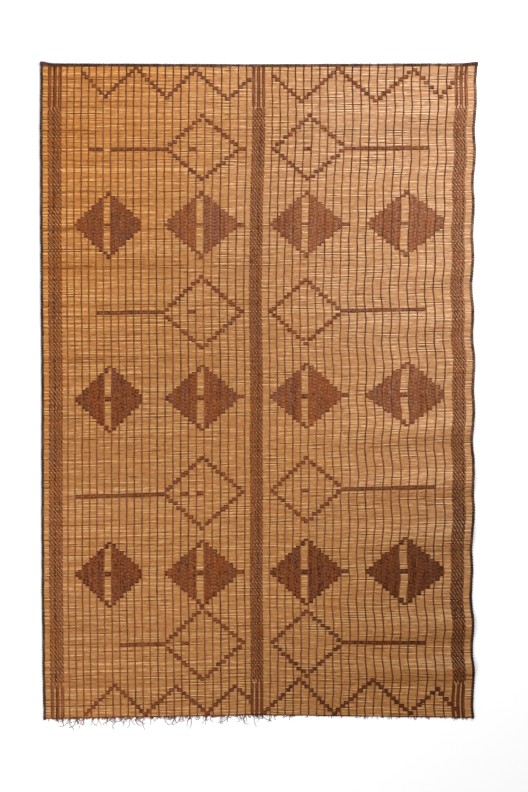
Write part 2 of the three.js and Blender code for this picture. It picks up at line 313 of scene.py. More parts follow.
def down_at(course):
    """Distance down the mat of a course."""
    return np.interp(course, MARK_COURSES, MARK_DOWNS)


def reed_at(course):
    """Number of the reed at a course."""
    return int(round(course * REEDS_IN_COURSE))


def line_count(panel):
    """Number of thong lines in a panel."""
    return PANELS[panel][0]


def line_x(panel, line):
    """Place across the plan of a thong line, or of a thong between two lines."""
    _, first, spacing, growth = PANELS[panel]
    return first + line * spacing + growth * line * (line - 1) / 2


def wander_at(down):
    """Stray of the edges and the inside, rise and bow at a distance down the mat, eased between the rows."""
    row = np.clip(np.searchsorted(WANDER[:, 0], down, side="right") - 1, 0, len(WANDER) - 2)
    above = WANDER[row]
    below = WANDER[row + 1]
    share = smooth((down - above[..., 0]) / (below[..., 0] - above[..., 0]))[..., None]
    return np.moveaxis(above[..., 1:] * (1 - share) + below[..., 1:] * share, -1, 0)


def looseness(across):
    """How slack the mat lies, from the left edge to the right."""
    return smooth((across - SLACK_FROM) / (1 - SLACK_FROM))


def lift_at(across, down):
    """Height of the ripples in the slack right half."""
    lift = 0
    for middle, half, rises in RIPPLES:
        reach = np.clip(np.abs(down - middle + RIPPLE_SLANT * (across - 1)) / half, 0, 1)
        lift = lift + rises * (0.5 + 0.5 * np.cos(np.pi * reach))
    return lift * looseness(across)


def slope_at(across, down):
    """Slope of the ripples, above zero where they face the head."""
    step = 5 * MM
    return (lift_at(across, down + step) - lift_at(across, down - step)) / (2 * step)


def lie(x, down, height, ripple=1.0):
    """Points of the spread mat for places across and down its plan."""
    x, down, height = np.broadcast_arrays(x, down, height)
    left, right, inside, rise, bow = wander_at(down)
    across = across_at(x)
    inside = inside * np.sin(np.pi * np.clip((across - INSIDE_FROM) / (1 - INSIDE_FROM), 0, 1))
    slack = looseness(across)
    set_in = smooth((down - SWAY_STARTS) / (SWAY_FULL - SWAY_STARTS))
    swing = EDGE_SWAY + INNER_SWAY * (1 - slack) * set_in
    sway = slack * swing * np.sin(down * SWAY_RATE + across * SWAY_LAG)
    spread_x = x + left + (right - left) * across + inside + sway
    spread_y = HEAD - down + rise * (across - 0.5) + bow * (1 - np.abs(2 * across - 1))
    return np.stack((spread_x, spread_y, height + lift_at(across, down) * ripple), axis=-1)


def waver(rng, down, size):
    """Slow drift along a strand, of about the given size."""
    drift = np.zeros(len(down))
    for length in DRIFT_LENGTHS:
        drift += np.sin(down * 2 * np.pi / (length * rng.uniform(0.8, 1.2)) + rng.uniform(0, 6.3))
    return drift * size / 2


# Strands and their sweep
class Strands:
    """Middle lines gathered for one sweep, each with its girth, tone, seed and place in the weave."""

    def __init__(self, rng):
        self.rng = rng
        self.points = []
        self.layers = {"girth": [], "tone": [], "seed": [], "place": []}

    def add(self, points, tone=0.5, girth=1.0, place=0.5):
        """Adds one strand, with one value for all of it or one for each point."""
        self.points.append(points)
        seed = self.rng.uniform(0, 50)
        for label, value in (("girth", girth), ("tone", tone), ("seed", seed), ("place", place)):
            self.layers[label].append(np.broadcast_to(value, len(points)))

    def mesh(self, name):
        """Mesh of bare edges, with the values as point attributes."""
        points = np.concatenate(self.points)
        ends = np.cumsum([len(one) for one in self.points])
        starts = np.setdiff1d(np.arange(len(points)), ends - 1)
        made = bpy.data.meshes.new(name)
        made.vertices.add(len(points))
        made.vertices.foreach_set("co", points.ravel())
        made.edges.add(len(starts))
        made.edges.foreach_set("vertices", np.stack((starts, starts + 1), axis=1).ravel())
        for label, values in self.layers.items():
            layer = made.attributes.new(label, "FLOAT", "POINT")
            layer.data.foreach_set("value", np.concatenate(values).astype(np.float32))
        made.update()
        return made


def sweep_tree():
    """Geometry Nodes tree that sweeps an oval section along every strand."""
    tree = bpy.data.node_groups.get("Sweep strands")
    if tree:
        return tree
    tree = bpy.data.node_groups.new("Sweep strands", "GeometryNodeTree")
    tree.is_modifier = True
    for label, kind in (
        ("Geometry", "NodeSocketGeometry"),
        ("Width", NUMBER),
        ("Thickness", NUMBER),
        ("Sides", "NodeSocketInt"),
        ("Material", "NodeSocketMaterial"),
    ):
        tree.interface.new_socket(label, in_out="INPUT", socket_type=kind)
    tree.interface.new_socket("Geometry", in_out="OUTPUT", socket_type="NodeSocketGeometry")
    start = tree.nodes.new("NodeGroupInput")
    end = tree.nodes.new("NodeGroupOutput")
    curve = tree.nodes.new("GeometryNodeMeshToCurve")
    upright = tree.nodes.new("GeometryNodeSetCurveNormal")
    upright.mode = "Z_UP"
    ring = tree.nodes.new("GeometryNodeCurvePrimitiveCircle")
    ring.inputs["Radius"].default_value = 0.5
    quarter = tree.nodes.new("GeometryNodeTransform")
    quarter.inputs["Rotation"].default_value = (0, 0, math.pi / 4)
    oval = tree.nodes.new("ShaderNodeCombineXYZ")
    section = tree.nodes.new("GeometryNodeTransform")
    girth = tree.nodes.new("GeometryNodeInputNamedAttribute")
    girth.inputs["Name"].default_value = "girth"
    body = tree.nodes.new("GeometryNodeCurveToMesh")
    body.inputs["Fill Caps"].default_value = True
    soft = tree.nodes.new("GeometryNodeSetShadeSmooth")
    real = tree.nodes.new("GeometryNodeRealizeInstances")
    paint = tree.nodes.new("GeometryNodeSetMaterial")
    for chain in ((start, curve, upright, body, soft, real, paint, end), (ring, quarter, section)):
        for before, after in zip(chain, chain[1:]):
            tree.links.new(before.outputs[0], after.inputs[0])
    for source, target in (
        (start.outputs["Sides"], ring.inputs["Resolution"]),
        (start.outputs["Width"], oval.inputs["X"]),
        (start.outputs["Thickness"], oval.inputs["Y"]),
        (oval.outputs["Vector"], section.inputs["Scale"]),
        (section.outputs["Geometry"], body.inputs["Profile Curve"]),
        (girth.outputs["Attribute"], body.inputs["Scale"]),
        (start.outputs["Material"], paint.inputs["Material"]),
    ):
        tree.links.new(source, target)
    return tree


def sweep(name, strands, width, thickness, sides, material):
    """One piece of closed strands, swept by the Geometry Nodes tree and kept as a plain mesh."""
    if not strands.points:
        raise RuntimeError(f"{name} has no strands")
    tree = sweep_tree()
    piece = bpy.data.objects.new(name, strands.mesh(name + " lines"))
    bpy.context.scene.collection.objects.link(piece)
    modifier = piece.modifiers.new("Sweep strands", "NODES")
    modifier.node_group = tree
    wanted = {"Width": width, "Thickness": thickness, "Sides": sides, "Material": material}
    for socket in tree.interface.items_tree:
        if socket.in_out == "INPUT" and socket.name in wanted:
            modifier[socket.identifier] = wanted[socket.name]
    graph = bpy.context.evaluated_depsgraph_get()
    body = bpy.data.meshes.new_from_object(piece.evaluated_get(graph), depsgraph=graph)
    lines = piece.data
    piece.modifiers.clear()
    piece.data = body
    body.name = name
    bpy.data.meshes.remove(lines)
    if not body.polygons:
        raise RuntimeError(f"{name} came out empty")
    return piece


def sweep_thongs(name, strands, scene, spread=FLAT_SPREAD):
    """One piece of flat leather thongs."""
    width = scene.mat_sizes.thong_width * spread
    depth = scene.mat_sizes.thong_depth * FLAT_SPREAD
    return sweep(name, strands, width, depth, FLAT_SIDES, thong_material(scene.mat_colours))


def fasten(piece, slot, *nodes):
    """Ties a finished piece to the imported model, in place of its plain solids."""
    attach(piece, "root")
    if nodes:
        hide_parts(*nodes)


# Shader helpers
def feed(tree, socket, value):
    """Links a socket's value, or sets a plain one."""
    if isinstance(value, bpy.types.NodeSocket):
        tree.links.new(value, socket)
    else:
        socket.default_value = value


def calc(tree, operation, *values):
    """Output of a math node over sockets or numbers."""
    made = tree.nodes.new("ShaderNodeMath")
    made.operation = operation
    for place, value in enumerate(values):
        feed(tree, made.inputs[place], value)
    return made.outputs[0]


def mixed(tree, share, first, second, blend="MIX"):
    """Colour between two others."""
    made = tree.nodes.new("ShaderNodeMix")
    made.data_type = "RGBA"
    made.blend_type = blend
    feed(tree, made.inputs[MIX_SHARE], share)
    feed(tree, made.inputs[MIX_FIRST], first)
    feed(tree, made.inputs[MIX_SECOND], second)
    return made.outputs[MIX_RESULT]


def tinted(tree, share, colour, tint):
    """Colour multiplied by a tint, as far as the share says."""
    return mixed(tree, share, colour, tint, "MULTIPLY")


def eased(tree, value, low, high, bottom=0.0, top=1.0):
    """Value eased from one range to another."""
    made = tree.nodes.new("ShaderNodeMapRange")
    made.interpolation_type = "SMOOTHSTEP"
    feed(tree, made.inputs["Value"], value)
    made.inputs["From Min"].default_value = low
    made.inputs["From Max"].default_value = high
    made.inputs["To Min"].default_value = bottom
    made.inputs["To Max"].default_value = top
    return made.outputs["Result"]


def place_of(tree):
    """The three Object coordinates."""
    where = tree.nodes.new("ShaderNodeTexCoord")
    split = tree.nodes.new("ShaderNodeSeparateXYZ")
    tree.links.new(where.outputs["Object"], split.inputs[0])
    return split.outputs[0], split.outputs[1], split.outputs[2]


def noise(tree, place, rates, detail=2.0, roughness=0.5):
    """Noise over a made-up place, each of its values first multiplied by a rate where one is given."""
    joined = tree.nodes.new("ShaderNodeCombineXYZ")
    for socket, value, rate in zip(joined.inputs, place, rates):
        feed(tree, socket, calc(tree, "MULTIPLY", value, rate) if rate else value)
    made = tree.nodes.new("ShaderNodeTexNoise")
    tree.links.new(joined.outputs[0], made.inputs["Vector"])
    made.inputs["Scale"].default_value = 1.0
    made.inputs["Detail"].default_value = detail
    made.inputs["Roughness"].default_value = roughness
    return made.outputs[0]


def raised(tree, height, depth):
    """Normal of a small relief."""
    made = tree.nodes.new("ShaderNodeBump")
    made.inputs["Strength"].default_value = 0.7
    made.inputs["Distance"].default_value = depth
    tree.links.new(height, made.inputs["Height"])
    return made.outputs[0]


def group(name, inputs, outputs):
    """Empty shader node group with its sockets."""
    tree = bpy.data.node_groups.new(name, "ShaderNodeTree")
    for label, kind in inputs:
        tree.interface.new_socket(label, in_out="INPUT", socket_type=kind)
    for label, kind in outputs:
        tree.interface.new_socket(label, in_out="OUTPUT", socket_type=kind)
    return tree, tree.nodes.new("NodeGroupInput"), tree.nodes.new("NodeGroupOutput")


def surface_group(name, colours):
    """Empty shader group of a strand's surface, fed with colours and the strand's values."""
    inputs = [(label, COLOUR) for label in colours]
    inputs += [(label, NUMBER) for label in STRAND_VALUES]
    return group(name, inputs, SURFACE_OUTPUTS)


# Materials
def fade_and_painted_light():
    """Shader group: how far this place is bleached by the sun and lit by a painted sheen towards the upper
    right, how much warmer it is towards the upper left, and how much painted shade darkens it towards the
    lower right.
    """
    tree = bpy.data.node_groups.get("Sun fade and painted light")
    if tree:
        return tree
    tree, _, end = group("Sun fade and painted light", (), [(label, NUMBER) for label in ("Fade", "Gold", "Painted shade")])
    x, y, _ = place_of(tree)
    cloud = calc(tree, "SUBTRACT", noise(tree, (x, y, 3.0), (2.2, 2.2, None)), 0.5)
    # Sun bleaching and painted sheen, growing towards the upper right
    faded_and_sheened = calc(tree, "ADD", calc(tree, "MULTIPLY", y, 0.6), x)
    faded_and_sheened = calc(tree, "ADD", faded_and_sheened, calc(tree, "MULTIPLY", cloud, 0.9))
    tree.links.new(eased(tree, faded_and_sheened, -0.3, 1.5), end.inputs["Fade"])
    gold = calc(tree, "SUBTRACT", calc(tree, "MULTIPLY", y, 0.6), x)
    tree.links.new(eased(tree, gold, 0.3, 1.5), end.inputs["Gold"])
    # Painted shade of the light falling off towards the lower right
    foot = calc(tree, "SUBTRACT", calc(tree, "MULTIPLY", x, 1.1), y)
    foot = calc(tree, "ADD", foot, calc(tree, "MULTIPLY", cloud, 0.6))
    tree.links.new(eased(tree, foot, 0.4, 2.0), end.inputs["Painted shade"])
    return tree


def reed_fibre():
    """Shader group: colour and relief of a reed, streaked along its length, with painted shade in the gaps
    beside it.
    """
    tree = bpy.data.node_groups.get("Reed fibre")
    if tree:
        return tree
    tree, start, end = surface_group("Reed fibre", ("Golden", "Pale", "Brown", "Bleached"))
    brown = start.outputs["Brown"]
    x, y, z = place_of(tree)
    row = calc(tree, "MULTIPLY", start.outputs["Seed"], 7.3)
    long_streak = noise(tree, (x, row, 1.0), (7.0, None, None), 3.0, 0.6)
    short_streak = noise(tree, (x, row, 5.0), (30.0, None, None), 2.0, 0.6)
    fibre = noise(tree, (x, y, z), (14.0, 1500.0, 1500.0))
    shade = calc(tree, "MULTIPLY_ADD", long_streak, 0.7, start.outputs["Tone"])
    shade = calc(tree, "MULTIPLY_ADD", short_streak, 1.2, shade)
    shade = calc(tree, "MULTIPLY_ADD", fibre, 0.4, shade)
    dark, common, light = REED_SHADES
    tint = mixed(tree, eased(tree, shade, dark, common), brown, start.outputs["Golden"])
    tint = mixed(tree, eased(tree, shade, common, light), tint, start.outputs["Pale"])
    # Painted shade in the gaps: the colour darkens towards the reed's sides, more on some stretches than
    # others
    off = calc(tree, "SUBTRACT", y, start.outputs["Place"])
    side = calc(tree, "MULTIPLY_ADD", calc(tree, "SIGN", off), 3.0, row)
    edge = eased(tree, calc(tree, "ABSOLUTE", off), 1.4 * MM, 2.4 * MM)
    gap = noise(tree, (x, side, 9.0), (13.0, None, None), 2.0, 0.6)
    gap = calc(tree, "MULTIPLY", edge, eased(tree, gap, 0.42, 0.6, 0.1, 0.85))
    tint = mixed(tree, gap, tint, mixed(tree, 0.6, brown, (0, 0, 0, 1)))
    fade = tree.nodes.new("ShaderNodeGroup")
    fade.node_tree = fade_and_painted_light()
    # Sun bleaching with a painted sheen towards the upper right, warmer towards the upper left, painted shade
    # towards the lower right
    bleach_and_sheen = calc(tree, "MULTIPLY", fade.outputs["Fade"], 0.9)
    tint = tinted(tree, bleach_and_sheen, tint, start.outputs["Bleached"])
    tint = tinted(tree, fade.outputs["Gold"], tint, GOLDEN_TINT)
    tint = tinted(tree, fade.outputs["Painted shade"], tint, REED_PAINTED_SHADE_TINT)
    joint = calc(tree, "FRACT", calc(tree, "MULTIPLY_ADD", x, 2.1, row))
    joint = calc(tree, "LESS_THAN", joint, 0.006)
    tint = mixed(tree, calc(tree, "MULTIPLY", joint, 0.5), tint, brown)
    tree.links.new(tint, end.inputs["Color"])
    tree.links.new(eased(tree, fibre, 0.2, 0.8, 0.42, 0.6), end.inputs["Roughness"])
    tree.links.new(raised(tree, fibre, 0.4 * MM), end.inputs["Normal"])
    return tree


def worn_leather():
    """Shader group: colour and relief of leather, blotched and rubbed, bleached by the sun with a painted
    sheen towards the upper right, and with painted shade towards the lower right and where it is nipped.
    """
    tree = bpy.data.node_groups.get("Worn leather")
    if tree:
        return tree
    tree, start, end = surface_group("Worn leather", ("Brown", "Dark", "Rubbed"))
    x, y, z = place_of(tree)
    seed = calc(tree, "MULTIPLY", start.outputs["Seed"], 5.1)
    rib = calc(tree, "COSINE", calc(tree, "MULTIPLY", start.outputs["Place"], 2 * math.pi))
    rib = calc(tree, "MULTIPLY_ADD", rib, -0.5, 0.5)
    stretch = noise(tree, (y, x, seed), (9.0, 9.0, None), 3.0, 0.6)
    blotch = noise(tree, (x, y, seed), (60.0, 160.0, None), 2.0, 0.6)
    grain = noise(tree, (x, y, z), (1100.0, 1100.0, 1100.0))
    dye = noise(tree, (x, y, seed), (24.0, 5.0, 0.004))
    shade = calc(tree, "MULTIPLY_ADD", stretch, 0.6, start.outputs["Tone"])
    shade = calc(tree, "MULTIPLY_ADD", blotch, 1.2, shade)
    dark, common, light = LEATHER_SHADES
    tint = mixed(tree, eased(tree, shade, dark, common), start.outputs["Dark"], start.outputs["Brown"])
    tint = mixed(tree, eased(tree, shade, common, light), tint, start.outputs["Rubbed"])
    tint = tinted(tree, eased(tree, dye, 0.54, 0.64), tint, COOL_DYE_TINT)
    tint = tinted(tree, eased(tree, dye, 0.47, 0.38), tint, WARM_DYE_TINT)
    fade = tree.nodes.new("ShaderNodeGroup")
    fade.node_tree = fade_and_painted_light()
    # Sun fade and painted sheen pale the lighter leather towards the upper right
    rubbed = calc(tree, "MULTIPLY", fade.outputs["Fade"], eased(tree, shade, 1.1, 1.8, 0.05, 0.5))
    tint = mixed(tree, rubbed, tint, FADED_AND_SHEEN_LEATHER)
    # Painted shade towards the lower right
    tint = tinted(tree, fade.outputs["Painted shade"], tint, LEATHER_PAINTED_SHADE_TINT)
    # Painted shade where the thong is nipped between reeds
    tint = tinted(tree, eased(tree, rib, 0.5, 0.0, 0.0, 0.6), tint, PAINTED_NIP_SHADE_TINT)
    relief = calc(tree, "MULTIPLY_ADD", grain, 0.25, rib)
    tree.links.new(tint, end.inputs["Color"])
    tree.links.new(eased(tree, grain, 0.2, 0.8, 0.55, 0.75), end.inputs["Roughness"])
    tree.links.new(raised(tree, relief, 0.9 * MM), end.inputs["Normal"])
    return tree


def material(name, tree, colours, kind):
    """Material of one shared group, fed with the colours of its kind and the strands' values."""
    made = bpy.data.materials.get(name)
    if made:
        return made
    made = bpy.data.materials.new(name)
    made.use_nodes = True
    nodes = made.node_tree.nodes
    links = made.node_tree.links
    shader = nodes["Principled BSDF"]
    surface = nodes.new("ShaderNodeGroup")
    surface.node_tree = tree
    for socket in surface.inputs:
        label = socket.name.lower()
        if socket.name in STRAND_VALUES:
            layer = nodes.new("ShaderNodeAttribute")
            layer.attribute_name = label
            links.new(layer.outputs["Fac"], socket)
        else:
            socket.default_value = (*getattr(colours, f"{kind}_{label}"), 1)
    links.new(surface.outputs["Color"], shader.inputs["Base Color"])
    links.new(surface.outputs["Roughness"], shader.inputs["Roughness"])
    links.new(surface.outputs["Normal"], shader.inputs["Normal"])
    shader.inputs["Specular IOR Level"].default_value = 0.02
    return made


def reed_material(colours):
    """Golden straw, satin, uneven from reed to reed."""
    return material("Reed", reed_fibre(), colours, "reed")


def thong_material(colours):
    """Worn brown leather, matt."""
    return material("Thong leather", worn_leather(), colours, "thong")


def binding_material(colours):
    """Dark leather, worn grey in places."""
    return material("Binding leather", worn_leather(), colours, "binding")


# Weaving
def at_reeds(stops):
    """Distances down and heights for stops given as reed number and height."""
    reeds, heights = np.array(stops).T
    return down_at(reeds / REEDS_IN_COURSE), heights


def float_stops(first, last):
    """Stops of a thong that shows over the reeds from first to last, nipped at each course."""
    stops = [(first - TUCK_REACH, TUCK), (first + TUCK_REACH, SHOULDER)]
    for dip in range(first + REEDS_IN_COURSE, last, REEDS_IN_COURSE):
        stops += [(dip - HALF_COURSE, CREST), (dip, DIP)]
    stops += [(last - HALF_COURSE, CREST), (last - TUCK_REACH, SHOULDER), (last + TUCK_REACH, TUCK)]
    return stops


def weave_float(strands, panel, line, first, last, tone=FLOAT_TONE, lift=0.0, girth=1.0):
    """Adds one thong float at a line, or between two lines, over the reeds from first to last."""
    rng = strands.rng
    stops = np.array(float_stops(first, last))
    down, heights = at_reeds(stops)
    x = line_x(panel, line) + rng.normal(0, 0.2 * MM)
    pitch = (line_x(panel, line + 0.5) - line_x(panel, line - 0.5)) / THONGS_IN_CELL
    tones = tone + rng.normal(0, 0.08) + rng.normal(0, 0.17, len(stops))
    # Painted shade on the tucked ends
    tones[:2] -= END_SHADE
    tones[-2:] -= END_SHADE
    lift = lift + rng.uniform(-0.15, 0.25) * MM
    # The course count places the leather's painted nip shade at each dip
    course = (stops[:, 0] - first) / REEDS_IN_COURSE
    girth = girth * rng.uniform(1.0, 1.1) * pitch / FLOAT_PITCH
    strands.add(lie(x, down, heights + lift), tones, girth, course)


def block_thongs(blocks):
    """Thongs, in sixths of a cell, that show in any of the half-cell blocks."""
    thongs = set()
    for block in blocks:
        cell, half = divmod(block, 2)
        thongs.update(cell * THONGS_IN_CELL + part + half * 2 for part in (1, 2, 3))
    return sorted(thongs)


def weave_blocks(strands, panel, rows, tone):
    """Adds the floats of a chart, given as the half-cell blocks that show in each course."""
    shown = {}
    for course, blocks in rows.items():
        for thong in block_thongs(blocks):
            shown.setdefault(thong, []).append(course)
    for thong, courses in sorted(shown.items()):
        courses = sorted(courses)
        first = courses[0]
        for here, after in zip(courses, courses[1:] + [None]):
            if after is None or after - here > 1:
                line = thong / THONGS_IN_CELL
                weave_float(strands, panel, line, reed_at(first - 0.5), reed_at(here + 0.5), tone)
                first = after


def weave_bead(strands, panel, course, block):
    """Adds one half-cell block of a line of beads, over the reeds of one course."""
    first = reed_at(course - 0.5)
    last = first + REEDS_IN_COURSE
    for thong in block_thongs((block,)):
        line = thong / THONGS_IN_CELL
        weave_float(strands, panel, line, first, last, lift=BEAD_LIFT, girth=BEAD_GIRTH)


def weave_dash(strands, panel, course, start, end):
    """Adds a level dash, from one line to another, over the reeds of one course."""
    first = reed_at(course - 0.5)
    last = first + REEDS_IN_COURSE
    for thong in range(int(start * THONGS_IN_CELL) + 1, int(end * THONGS_IN_CELL)):
        if thong % THONGS_IN_CELL:
            weave_float(strands, panel, thong / THONGS_IN_CELL, first, last, lift=DASH_LIFT)


class MatSizes(bpy.types.PropertyGroup):
    """Sizes of the reeds, thongs and bindings."""

    reed_width: bpy.props.FloatProperty(
        name="Reed width", description="Width of a reed at its middle",
        default=0.0055, unit="LENGTH")
    reed_depth: bpy.props.FloatProperty(
        name="Reed depth", description="Depth of a reed from top to underside",
        default=0.0047, unit="LENGTH")
    thong_width: bpy.props.FloatProperty(
        name="Thong width", description="Width of one leather thong",
        default=0.0052, unit="LENGTH")
    thong_depth: bpy.props.FloatProperty(
        name="Thong depth", description="Depth of one leather thong",
        default=0.0011, unit="LENGTH")
    binding_width: bpy.props.FloatProperty(
        name="Binding width", description="Width of the wrapped side bindings",
        default=0.011, unit="LENGTH")
    binding_depth: bpy.props.FloatProperty(
        name="Binding depth", description="Depth of the wrapped side bindings",
        default=0.007, unit="LENGTH")
    fray_left: bpy.props.FloatProperty(
        name="Fray on the left", description="Length of the longer frayed ends left of the middle",
        default=0.047, unit="LENGTH")
    fray_right: bpy.props.FloatProperty(
        name="Fray on the right", description="Length of the longer frayed ends at the right",
        default=0.017, unit="LENGTH")


class MatColours(bpy.types.PropertyGroup):
    """Colours of the reeds, the leather and the floor."""

    reed_golden: bpy.props.FloatVectorProperty(
        name="Golden reed", description="Common colour of the reeds",
        default=(0.462, 0.206, 0.069), subtype="COLOR")
    reed_pale: bpy.props.FloatVectorProperty(
        name="Pale reed", description="Palest stretches of the reeds",
        default=(0.69, 0.405, 0.18), subtype="COLOR")
    reed_brown: bpy.props.FloatVectorProperty(
        name="Brown reed", description="Darkest stretches of the reeds",
        default=(0.2, 0.062, 0.011), subtype="COLOR")
    # Tint of sun bleaching and of a painted sheen towards the upper right
    reed_bleached: bpy.props.FloatVectorProperty(
        name="Bleached reed", description="How much of each colour the sun has brought out",
        default=(1.24, 1.51, 2.3), subtype="COLOR", max=4)
    thong_brown: bpy.props.FloatVectorProperty(
        name="Thong", description="Common colour of the thongs",
        default=(0.222, 0.068, 0.024), subtype="COLOR")
    thong_dark: bpy.props.FloatVectorProperty(
        name="Dark thong", description="Darkest stretches of the thongs",
        default=(0.09, 0.024, 0.009), subtype="COLOR")
    thong_rubbed: bpy.props.FloatVectorProperty(
        name="Rubbed thong", description="Rubbed stretches of the thongs",
        default=(0.34, 0.125, 0.05), subtype="COLOR")
    binding_brown: bpy.props.FloatVectorProperty(
        name="Binding", description="Common colour of the bindings",
        default=(0.062, 0.03, 0.02), subtype="COLOR")
    binding_dark: bpy.props.FloatVectorProperty(
        name="Dark binding", description="Darkest places of the bindings",
        default=(0.02, 0.01, 0.007), subtype="COLOR")
    binding_rubbed: bpy.props.FloatVectorProperty(
        name="Rubbed binding", description="Rubbed places of the bindings",
        default=(0.13, 0.08, 0.06), subtype="COLOR")
    floor: bpy.props.FloatVectorProperty(
        name="Floor", description="Colour of the floor",
        default=(0.9, 0.9, 0.9), subtype="COLOR")


class REEDMAT_OT_lay_reeds(bpy.types.Operator):
    """Lay the reeds side by side across the mat"""

    bl_idname = "reedmat.lay_reeds"
    bl_label = "Lay reeds"

    def execute(self, context):
        sizes = context.scene.mat_sizes
        rng = np.random.default_rng(21)
        strands = Strands(rng)
        mottle = rng.normal(0, STREAK_SPREAD, (REEDS + 2, REED_POINTS))
        for reed in range(REEDS):
            start = LEFT_EDGE + rng.uniform(*REED_INSET) * MM
            end = RIGHT_EDGE - rng.uniform(*REED_INSET) * MM
            x = np.linspace(start, end, REED_POINTS)
            down = down_at((reed + 0.5) / REEDS_IN_COURSE) + waver(rng, x, 0.2 * MM)
            height = REED_MIDDLE + rng.normal(0, 0.06 * MM)
            across = across_at(x)
            # Whole reeds differ most at the left, and short streaks at the right
            broken = smooth(across / 0.6)
            whole = rng.normal(0, WHOLE_REED_SPREAD) * (1 - 0.75 * broken)
            streaks = mottle[reed + 1] - mottle[reed:reed + 3].mean(axis=0)
            streaks = streaks * (0.82 + 0.24 * broken)
            # Painted shading of the ripples: paler on sides that face the head and the key light, darker on
            # the others
            tone = REED_TONE + whole + streaks + PAINTED_RIPPLE_SHADE * slope_at(across, down)
            if reed in STAINED_REEDS:
                tone -= STAIN_TONE * smooth((STAINED_REEDS[reed] - x) / STAIN_FADES)
            taper = np.linspace(-1, 1, REED_POINTS) * rng.choice((-0.05, 0.05))
            girth = rng.uniform(*REED_GIRTH) + taper
            points = lie(x, down, height)
            strands.add(points, tone, girth, points[:, 1])
        straw = reed_material(context.scene.mat_colours)
        piece = sweep("reeds", strands, sizes.reed_width, sizes.reed_depth, REED_SIDES, straw)
        fasten(piece, "reeds", "reed_field")
        return {"FINISHED"}


class REEDMAT_OT_weave_lines(bpy.types.Operator):
    """Weave the thong lines of both panels, with their turns on the underside"""

    bl_idname = "reedmat.weave_lines"
    bl_label = "Weave thong lines"

    def tone(self, panel, down):
        """Common tone of a panel's lines down the mat."""
        if panel == "left":
            return LEFT_LINE_TONE
        head, foot = RIGHT_LINE_TONES
        return head + (foot - head) * smooth(down / LENGTH)

    def weave_line(self, strands, backs, panel, line):
        """Adds one line, from over the head cord to the foot, and its turns on the underside."""
        rng = strands.rng
        nips = np.arange(0, COURSES + 0.25, 0.5)
        course = np.clip(nips + (line % REEDS_IN_COURSE) / REEDS_IN_COURSE, 0, COURSES)
        rising = np.arange(len(nips)) % 2 == 1
        down = down_at(course)
        x = line_x(panel, line) + waver(rng, down, LINE_DRIFTS[panel])
        tone = self.tone(panel, down) + rng.normal(0, 0.14) + waver(rng, down, 0.12)
        # Painted shade next to the head cord
        tone = tone - PAINTED_CORD_SHADE * np.exp(-down / HEAD_SHADE_LENGTH)
        front = lie(x, down, np.where(rising, CREST, DIP))
        over_cord = lie(x[0], OVER_CORD_DOWNS, OVER_CORD_HEIGHTS)
        girth = 1 + waver(rng, down, 0.09)
        strands.add(
            np.concatenate((over_cord, front)),
            np.concatenate((tone[:1], tone[:1], tone)),
            np.concatenate((girth[:1], girth[:1], girth)),
            np.concatenate(((0.5, 0.5), nips)),
        )
        under = np.where(np.arange(len(down[::2])) % 2, BENEATH, TURN)
        backs.add(lie(x[::2], down[::2], under), tone[::2])

    def execute(self, context):
        rng = np.random.default_rng(32)
        backs = Strands(rng)
        for panel in PANELS:
            strands = Strands(rng)
            for line in range(line_count(panel)):
                self.weave_line(strands, backs, panel, line)
            piece = sweep_thongs("thong_lines_" + panel, strands, context.scene)
            thongs = range(1, line_count(panel) // 2 + 1)
            fasten(piece, "thongs", *(f"thong_{panel}_{thong}" for thong in thongs))
        piece = sweep_thongs("thong_lines_underside", backs, context.scene)
        fasten(piece, "thongs")
        return {"FINISHED"}


class REEDMAT_OT_weave_bands(bpy.types.Operator):
    """Weave the three bands of close thongs, forked at both ends"""

    bl_idname = "reedmat.weave_bands"
    bl_label = "Weave bands"

    def stops(self, thong, gap, rng):
        """Stops of one band thong: under one reed in each repeat, and the prongs at both ends."""
        stops = [(0.5, BENEATH), (FORK_HEAD - 0.5, BENEATH)]
        if thong in PRONG_THONGS:
            stops = [(0, EDGE)]
            for dip in range(2 + thong % REEDS_IN_COURSE, FORK_HEAD, REEDS_IN_COURSE):
                stops += [(dip, EDGE), (dip + HALF_COURSE, CREST)]
            stops = [stop for stop in stops if stop[0] < FORK_HEAD - 0.5]
        unders = [reed for reed in range(FORK_HEAD, FORK_FOOT) if (reed - thong) % BAND_REPEAT == 0]
        unders = [reed for reed in unders if rng.random() > MISSED_FLECKS]
        before = FORK_HEAD
        for under in unders + [FORK_FOOT]:
            if under - before > 1:
                stops += [(before + gap, EDGE), ((before + under) / 2, CREST), (under - gap, EDGE)]
            if under < FORK_FOOT:
                stops += [(under + 0.2, BENEATH), (under + 0.8, BENEATH)]
            before = under + 1
        if thong in PRONG_THONGS:
            for crest in range(FORK_FOOT + 2, REEDS - 1, REEDS_IN_COURSE):
                stops += [(crest, CREST), (crest + HALF_COURSE, EDGE)]
            stops.append((REEDS, EDGE))
        else:
            stops += [(FORK_FOOT + 0.5, BENEATH), (REEDS - 0.5, BENEATH)]
        return stops

    def execute(self, context):
        rng = np.random.default_rng(43)
        for name, middle, width, shade, gap in BANDS:
            strands = Strands(rng)
            pitch = width / BAND_THONGS
            for thong in range(BAND_THONGS):
                down, heights = at_reeds(self.stops(thong, gap, rng))
                x = middle + (thong - (BAND_THONGS - 1) / 2) * pitch + waver(rng, down, 0.3 * MM)
                tone = shade + rng.normal(0, 0.2) + waver(rng, down, 0.2)
                # The low stops get the leather's painted nip shade
                place = np.where(heights > EDGE, 0.5, 0.1)
                strands.add(lie(x, down, heights), tone, pitch / BAND_PITCH, place)
            piece = sweep_thongs("thongs_of_" + name, strands, context.scene)
            fasten(piece, "floats", name)
        return {"FINISHED"}


